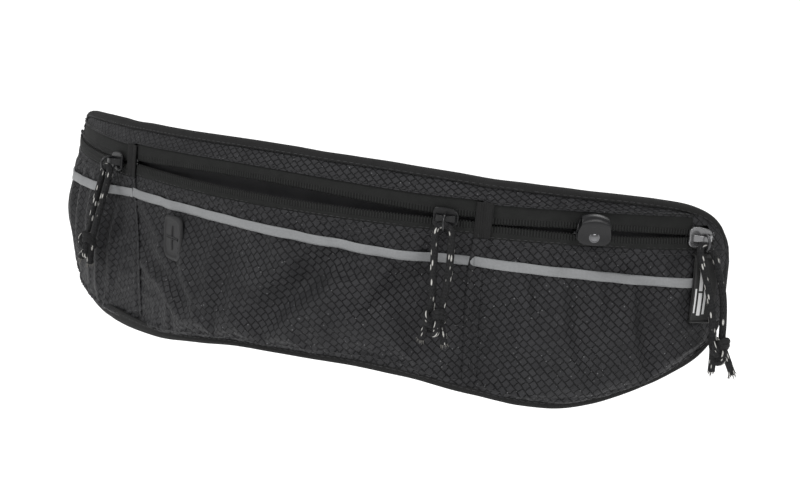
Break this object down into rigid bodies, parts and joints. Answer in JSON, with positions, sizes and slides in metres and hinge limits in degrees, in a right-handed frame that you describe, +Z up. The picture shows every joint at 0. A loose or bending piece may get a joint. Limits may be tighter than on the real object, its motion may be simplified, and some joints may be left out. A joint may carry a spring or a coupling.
{
  "type": "waist pack",
  "caption": "Slim curved waist pack with zipped front pockets, cord zip pulls, a reflective stripe, an earphone port, a key tab and a buckled belt behind.",
  "frame": {"origin": "middle of the rear face, where the pack rests on the wearer's waist", "axes": "+Z up as worn, front faces -Y, +X to the right seen from the front"},
  "size_m": [0.3379, 0.0996, 0.0944],
  "materials": {
    "ripstop": "satin ripstop weave",
    "lining": "plain woven lining",
    "mesh": "spacer mesh",
    "binding": "folded binding tape",
    "zip_tape": "matt woven tape",
    "zip_coil": "satin",
    "reflective": "retroreflective",
    "rubber": "matt",
    "label": "satin woven label",
    "slider_metal": "gloss gunmetal",
    "wire": "dark nickel",
    "cord": "braided, light flecks",
    "eyelet": "nickel",
    "tether": "smooth coated webbing",
    "webbing": "elastic webbing",
    "buckle": "moulded"
  },
  "bodies": {
    "pack": {"back_mesh_panel": "mesh", "pocket_lining": "lining", "edge_binding": "binding", "divider_seam_left": "binding", "divider_seam_right": "binding", "top_band": "ripstop", "front_panel_left": "ripstop", "front_panel_center": "ripstop", "front_panel_right": "ripstop", "upper_tape_left": "zip_tape", "lower_tape_left": "zip_tape", "upper_teeth_left": "zip_coil", "lower_teeth_left": "zip_coil", "reflective_strip_left": "reflective", "upper_tape_center": "zip_tape", "lower_tape_center": "zip_tape", "upper_teeth_center": "zip_coil", "lower_teeth_center": "zip_coil", "reflective_strip_center": "reflective", "upper_tape_right": "zip_tape", "lower_tape_right": "zip_tape", "upper_teeth_right": "zip_coil", "lower_teeth_right": "zip_coil", "reflective_strip_right": "reflective", "zip_end_stops": "wire", "earphone_port": "rubber", "side_label": "label", "key_tab_root": "tether", "belt_strap_left": "webbing", "belt_strap_right": "webbing", "belt_anchor_left": "webbing", "belt_anchor_right": "webbing", "buckle_socket": "buckle", "strap_keeper": "buckle"},
    "slider_left": {"slider_left": "slider_metal"},
    "pull_left": {"pull_ring_left": "wire", "pull_cord_left": "cord", "pull_knot_left": "cord"},
    "slider_center": {"slider_center": "slider_metal"},
    "pull_center": {"pull_ring_center": "wire", "pull_cord_center": "cord", "pull_knot_center": "cord"},
    "slider_right": {"slider_right": "slider_metal"},
    "pull_right": {"pull_ring_right": "wire", "pull_cord_right": "cord", "pull_knot_right": "cord"},
    "key_tab": {"key_tab": "tether", "key_snap": "eyelet"},
    "buckle_tongue": {"buckle_tongue": "buckle", "strap_tail_right": "webbing"}
  },
  "joints": [
    {"name": "zip_left", "type": "hinge", "parent": "pack", "child": "slider_left", "pos_m": [0, 0.192, 0], "axis": [0, 0, 1], "range_deg": [-22.4, 0.9]},
    {"name": "pull_swing_left", "type": "hinge", "parent": "slider_left", "child": "pull_left", "pos_m": [-0.09831, 0.01291, 0.022], "axis": [-0.8766, 0.4812, 0], "range_deg": [0, 110]},
    {"name": "zip_center", "type": "hinge", "parent": "pack", "child": "slider_center", "pos_m": [0, 0.192, 0], "axis": [0, 0, 1], "range_deg": [-43.7, 1.8]},
    {"name": "pull_swing_center", "type": "hinge", "parent": "slider_center", "child": "pull_center", "pos_m": [0.07312, 0.00123, 0.0235], "axis": [-0.9338, -0.3579, 0], "range_deg": [0, 110]},
    {"name": "zip_right", "type": "hinge", "parent": "pack", "child": "slider_right", "pos_m": [0, 0.192, 0], "axis": [0, 0, 1], "range_deg": [-8.7, 0.3]},
    {"name": "pull_swing_right", "type": "hinge", "parent": "slider_right", "child": "pull_right", "pos_m": [0.15863, 0.06325, 0.022], "axis": [-0.6302, -0.7764, 0], "range_deg": [0, 110]},
    {"name": "key_tab_fold", "type": "hinge", "parent": "pack", "child": "key_tab", "pos_m": [0.12402, 0.03054, 0.022], "axis": [0.793, 0.6092, 0], "range_deg": [0, 95]},
    {"name": "buckle_release", "type": "hinge", "parent": "pack", "child": "buckle_tongue", "pos_m": [0, 0.192, 0], "axis": [0, 0, 1], "range_deg": [0, 7.5]}
  ]
}
